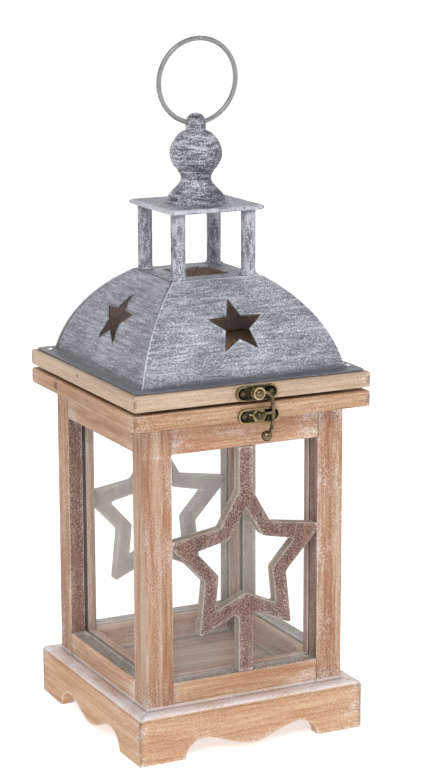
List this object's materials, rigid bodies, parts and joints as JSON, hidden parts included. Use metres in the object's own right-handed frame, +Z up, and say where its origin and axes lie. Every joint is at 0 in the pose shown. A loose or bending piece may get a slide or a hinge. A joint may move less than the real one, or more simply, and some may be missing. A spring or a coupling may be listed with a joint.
{
  "type": "wooden table lantern",
  "caption": "Square wooden lantern with glazed windows, fretwork stars, a scalloped skirt and a hinged domed sheet metal roof with pierced stars, chimney, finial and ring.",
  "frame": {"origin": "middle of the outer box's bottom face; the skirt's feet stand at Z = 0", "axes": "+Z up along the lantern's height, -Y to the front with the latch, +X to the right seen from the front"},
  "size_m": [0.16, 0.1718, 0.4363],
  "materials": {
    "whitewashed_pine": "matt pine with a thin worn whitewash",
    "pale_pine": "pale sanded pine, matt",
    "stained_fretwork": "grey-brown wash, edges worn pale",
    "float_glass": "clear and smooth",
    "zinc_paint": "grey paint, dry-brushed with white",
    "zinc_plated_steel": "bright plated",
    "antique_bronze": "dark antique finish, rims rubbed bright",
    "ring_wire": "plain grey wire, slightly dull"
  },
  "bodies": {
    "base": {"skirt_front": "whitewashed_pine", "skirt_right": "whitewashed_pine", "skirt_back": "whitewashed_pine", "skirt_left": "whitewashed_pine", "post_front_left": "whitewashed_pine", "post_front_right": "whitewashed_pine", "post_back_left": "whitewashed_pine", "post_back_right": "whitewashed_pine", "bottom_rail_front": "whitewashed_pine", "bottom_rail_right": "whitewashed_pine", "bottom_rail_back": "whitewashed_pine", "bottom_rail_left": "whitewashed_pine", "top_rail_front": "whitewashed_pine", "top_rail_right": "whitewashed_pine", "top_rail_back": "whitewashed_pine", "top_rail_left": "whitewashed_pine", "frame_board_front": "whitewashed_pine", "frame_board_right": "whitewashed_pine", "frame_board_back": "whitewashed_pine", "frame_board_left": "whitewashed_pine", "floor_board": "pale_pine", "star_front": "stained_fretwork", "star_back": "stained_fretwork", "glass_front": "float_glass", "glass_right": "float_glass", "glass_back": "float_glass", "glass_left": "float_glass", "hinge_leaf_lower_left": "zinc_plated_steel", "hinge_leaf_lower_right": "zinc_plated_steel", "hinge_pin_left": "zinc_plated_steel", "hinge_pin_right": "zinc_plated_steel", "keeper_plate": "antique_bronze", "keeper_peg": "antique_bronze", "keeper_screw_left": "antique_bronze", "keeper_screw_right": "antique_bronze"},
    "lid": {"lid_board_front": "pale_pine", "lid_board_right": "pale_pine", "lid_board_back": "pale_pine", "lid_board_left": "pale_pine", "roof_panel_front": "zinc_paint", "roof_panel_right": "zinc_paint", "roof_panel_back": "zinc_paint", "roof_panel_left": "zinc_paint", "roof_deck": "zinc_paint", "column_front_left": "zinc_paint", "column_front_right": "zinc_paint", "column_back_left": "zinc_paint", "column_back_right": "zinc_paint", "canopy_plate": "zinc_paint", "finial": "zinc_paint", "hinge_leaf_upper_left": "zinc_plated_steel", "hinge_leaf_upper_right": "zinc_plated_steel", "roof_nail_left": "zinc_plated_steel", "roof_nail_right": "zinc_plated_steel", "latch_plate": "antique_bronze", "latch_rivet": "antique_bronze", "latch_screw_left": "antique_bronze", "latch_screw_right": "antique_bronze"},
    "hook": {"latch_hook": "antique_bronze"},
    "ring": {"ring_handle": "ring_wire"}
  },
  "joints": [
    {"name": "lid_hinge", "type": "hinge", "parent": "base", "child": "lid", "pos_m": [0, 0.08438, 0.22195], "axis": [-1, 0, 0], "range_deg": [0, 107]},
    {"name": "hook_swing", "type": "hinge", "parent": "lid", "child": "hook", "pos_m": [0.0005, -0.07827, 0.228], "axis": [0, -1, 0], "range_deg": [0, 180]},
    {"name": "ring_swing", "type": "hinge", "parent": "lid", "child": "ring", "pos_m": [0, 0.00558, 0.3827], "axis": [1, 0, 0], "range_deg": [-159, 148]}
  ]
}
